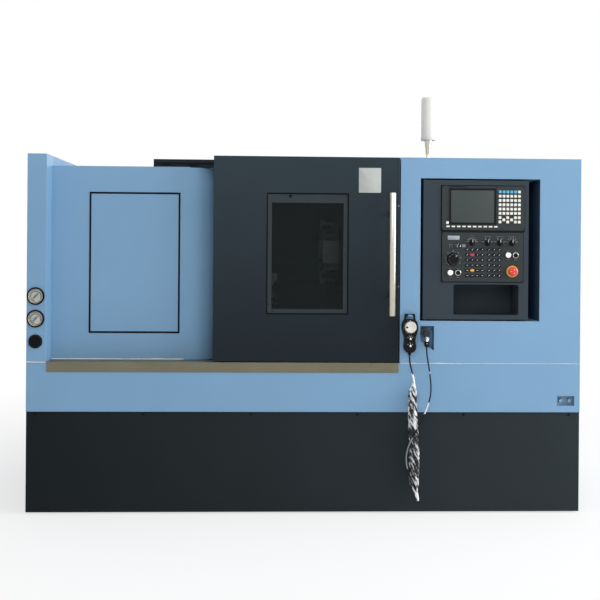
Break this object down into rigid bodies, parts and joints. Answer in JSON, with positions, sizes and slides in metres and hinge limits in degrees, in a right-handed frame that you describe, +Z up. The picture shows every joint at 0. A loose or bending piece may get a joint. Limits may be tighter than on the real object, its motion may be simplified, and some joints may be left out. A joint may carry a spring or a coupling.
{
  "type": "cnc turning lathe",
  "caption": "Slant-bed turning lathe in a blue and dark grey sheet-metal guard, with sliding door, swing-out operator box, hanging handwheel pendant and signal lamp.",
  "frame": {"origin": "on the floor under the middle of the machine", "axes": "+X to the operator's right along the spindle, +Y from the front to the back, +Z up"},
  "size_m": [2.68, 1.7188, 2.035],
  "materials": {
    "cast_iron": "semi-gloss machine enamel over casting",
    "blue_paint": "satin powder coat",
    "dark_paint": "satin textured powder coat",
    "panel_face": "matte overlay",
    "sheet_steel": "brushed",
    "polished_steel": "polished",
    "ground_steel": "ground",
    "foot_steel": "blackened",
    "window_glass": "polished",
    "black_rubber": "matte",
    "black_plastic": "fine texture",
    "key_plastic": "satin",
    "cream_plastic": "satin",
    "film": "crumpled clear film over a dark curly cord",
    "lamp_white": "opal",
    "stop_red": "satin",
    "needle_black": "matte",
    "grey_paint": "enamel"
  },
  "bodies": {
    "base": {"machine_bed": "cast_iron", "levelling_feet": "foot_steel", "front_skirt": "dark_paint", "rear_skirts": "dark_paint", "lower_guard": "blue_paint", "door_sill": "sheet_steel", "end_cover": "blue_paint", "gauge_cases": "polished_steel", "headstock_cover": "blue_paint", "top_rail": "dark_paint", "right_cover": "blue_paint", "rear_guard": "blue_paint", "electrical_cabinet": "dark_paint", "pendant_body": "black_plastic", "plug_socket": "black_plastic", "cable_plug": "black_plastic", "lamp_stem": "polished_steel", "lamp_body": "lamp_white", "headstock": "cast_iron", "spindle_motor": "grey_paint", "drive_belt": "black_rubber", "chamber_guard": "sheet_steel", "coolant_tank": "grey_paint", "pendant_lead": "black_rubber", "plug_lead": "black_rubber", "wrapped_bundle": "film"},
    "sliding_door": {"door_shell": "dark_paint", "door_gasket": "black_rubber", "door_glass": "window_glass", "door_handle": "polished_steel"},
    "operator_box": {"operator_box": "dark_paint", "display_unit": "panel_face", "display_keys": "key_plastic", "machine_panel": "panel_face", "machine_keys": "key_plastic"},
    "access_door": {"access_door": "blue_paint"},
    "cabinet_door": {"cabinet_door": "dark_paint"},
    "estop_button": {"estop_button": "stop_red"},
    "override_knob": {"override_knob": "black_plastic"},
    "selector_1": {"selector_1": "black_plastic"},
    "selector_2": {"selector_2": "black_plastic"},
    "selector_3": {"selector_3": "black_plastic"},
    "selector_4": {"selector_4": "black_plastic"},
    "key_switch": {"key_switch": "black_plastic"},
    "needle_upper": {"needle_upper": "needle_black"},
    "needle_lower": {"needle_lower": "needle_black"},
    "pendant_dial": {"pendant_dial": "cream_plastic"},
    "pendant_axis_knob": {"pendant_axis_knob": "black_plastic"},
    "pendant_step_knob": {"pendant_step_knob": "black_plastic"},
    "spindle": {"spindle": "ground_steel", "chuck": "ground_steel"},
    "chuck_jaw_1": {"chuck_jaw_1": "ground_steel"},
    "chuck_jaw_2": {"chuck_jaw_2": "ground_steel"},
    "chuck_jaw_3": {"chuck_jaw_3": "ground_steel"},
    "motor_pulley": {"motor_pulley": "ground_steel"},
    "carriage": {"carriage": "cast_iron"},
    "cross_slide": {"cross_slide": "cast_iron"},
    "turret_disc": {"turret_disc": "ground_steel"},
    "tailstock": {"tailstock": "cast_iron"},
    "quill": {"quill": "ground_steel"}
  },
  "joints": [
    {"name": "door_slide", "type": "slide", "parent": "base", "child": "sliding_door", "axis": [1, 0, 0], "range_m": [-0.74, 0]},
    {"name": "box_swing", "type": "hinge", "parent": "base", "child": "operator_box", "pos_m": [0.575, -0.779, 1.2815], "axis": [0, 0, -1], "range_deg": [0, 90]},
    {"name": "access_swing", "type": "hinge", "parent": "base", "child": "access_door", "pos_m": [-1.05, -0.676, 1.206], "axis": [0, 0, -1], "range_deg": [0, 95]},
    {"name": "cabinet_swing", "type": "hinge", "parent": "base", "child": "cabinet_door", "pos_m": [1.108, 0.8503, 1.05], "axis": [0, 0, -1], "range_deg": [0, 110]},
    {"name": "estop_press", "type": "slide", "parent": "operator_box", "child": "estop_button", "axis": [0, 1, 0], "range_m": [0, 0.005], "stiffness_N_per_m": 1500, "springref_m": -0.002},
    {"name": "override_turn", "type": "hinge", "parent": "operator_box", "child": "override_knob", "pos_m": [0.712, -0.792, 1.2365], "axis": [0, 1, 0], "range_deg": [-135, 135]},
    {"name": "selector_1_turn", "type": "hinge", "parent": "operator_box", "child": "selector_1", "pos_m": [0.8035, -0.792, 1.316], "axis": [0, 1, 0], "range_deg": [-60, 60]},
    {"name": "selector_2_turn", "type": "hinge", "parent": "operator_box", "child": "selector_2", "pos_m": [0.88, -0.792, 1.316], "axis": [0, 1, 0], "range_deg": [-60, 60]},
    {"name": "selector_3_turn", "type": "hinge", "parent": "operator_box", "child": "selector_3", "pos_m": [0.94, -0.792, 1.316], "axis": [0, 1, 0], "range_deg": [-60, 60]},
    {"name": "selector_4_turn", "type": "hinge", "parent": "operator_box", "child": "selector_4", "pos_m": [1, -0.792, 1.316], "axis": [0, 1, 0], "range_deg": [-60, 60]},
    {"name": "key_switch_turn", "type": "hinge", "parent": "operator_box", "child": "key_switch", "pos_m": [0.738, -0.792, 1.3], "axis": [0, 1, 0], "range_deg": [0, 90]},
    {"name": "needle_upper_swing", "type": "hinge", "parent": "base", "child": "needle_upper", "pos_m": [-1.297, -0.795, 1.045], "axis": [0, 1, 0], "range_deg": [-180, 90]},
    {"name": "needle_lower_swing", "type": "hinge", "parent": "base", "child": "needle_lower", "pos_m": [-1.297, -0.795, 0.937], "axis": [0, 1, 0], "range_deg": [-180, 90]},
    {"name": "dial_turn", "type": "hinge", "parent": "base", "child": "pendant_dial", "pos_m": [0.4995, -0.832, 0.908], "axis": [0, 1, 0], "continuous": true},
    {"name": "axis_knob_turn", "type": "hinge", "parent": "base", "child": "pendant_axis_knob", "pos_m": [0.4995, -0.832, 0.853], "axis": [0, 1, 0], "range_deg": [-75, 75]},
    {"name": "step_knob_turn", "type": "hinge", "parent": "base", "child": "pendant_step_knob", "pos_m": [0.4995, -0.832, 0.819], "axis": [0, 1, 0], "range_deg": [-45, 45]},
    {"name": "spindle_spin", "type": "hinge", "parent": "base", "child": "spindle", "pos_m": [-0.3, -0.31, 1.05], "axis": [1, 0, 0], "continuous": true},
    {"name": "jaw_1_slide", "type": "slide", "parent": "spindle", "child": "chuck_jaw_1", "axis": [0, 0, 1], "range_m": [-0.004, 0.004]},
    {"name": "jaw_2_slide", "type": "slide", "parent": "spindle", "child": "chuck_jaw_2", "axis": [0, -0.866, -0.5], "range_m": [-0.004, 0.004]},
    {"name": "jaw_3_slide", "type": "slide", "parent": "spindle", "child": "chuck_jaw_3", "axis": [0, 0.866, -0.5], "range_m": [-0.004, 0.004]},
    {"name": "motor_spin", "type": "hinge", "parent": "base", "child": "motor_pulley", "pos_m": [-1.05, 0.48, 0.56], "axis": [1, 0, 0], "continuous": true},
    {"name": "carriage_slide", "type": "slide", "parent": "base", "child": "carriage", "axis": [1, 0, 0], "range_m": [-0.12, 0.28]},
    {"name": "cross_slide_feed", "type": "slide", "parent": "carriage", "child": "cross_slide", "axis": [0, 0.7071, 0.7071], "range_m": [-0.14, 0]},
    {"name": "turret_index", "type": "hinge", "parent": "cross_slide", "child": "turret_disc", "pos_m": [0.155, -0.09787, 1.26213], "axis": [1, 0, 0], "continuous": true},
    {"name": "tailstock_slide", "type": "slide", "parent": "base", "child": "tailstock", "axis": [1, 0, 0], "range_m": [-0.2, 0.2]},
    {"name": "quill_feed", "type": "slide", "parent": "tailstock", "child": "quill", "axis": [1, 0, 0], "range_m": [-0.08, 0]}
  ],
  "couplings": [
    {"joint": "jaw_2_slide", "follows": "jaw_1_slide", "ratio": 1},
    {"joint": "jaw_3_slide", "follows": "jaw_1_slide", "ratio": 1},
    {"joint": "motor_spin", "follows": "spindle_spin", "ratio": 1.375}
  ]
}
